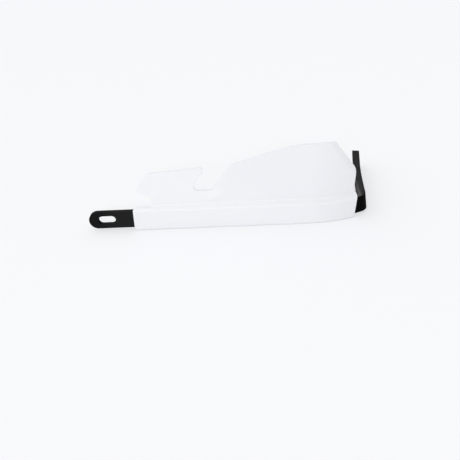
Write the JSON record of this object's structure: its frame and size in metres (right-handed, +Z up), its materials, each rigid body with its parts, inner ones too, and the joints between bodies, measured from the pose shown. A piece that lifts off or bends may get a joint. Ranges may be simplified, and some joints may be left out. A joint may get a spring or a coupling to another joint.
{
  "type": "motorcycle hand guard",
  "caption": "Moulded plastic hand guard on a flat metal bar with a slotted clamp end and a bent tail that bolts to the handlebar's end.",
  "frame": {"origin": "centre of the clamp slot, on the bar's rear face that the clamp bears on", "axes": "+X along the bar towards its outer end, +Y towards the rider, +Z up"},
  "size_m": [0.3232, 0.1509, 0.09],
  "materials": {
    "shield_plastic": "white, smooth satin moulding",
    "bar_metal": "black, satin coat",
    "screw_steel": "bright zinc",
    "washer_steel": "bright zinc"
  },
  "bodies": {
    "root": {"shield": "shield_plastic", "bar": "bar_metal", "shield_screws": "screw_steel", "screw_washers": "washer_steel"}
  },
  "joints": []
}
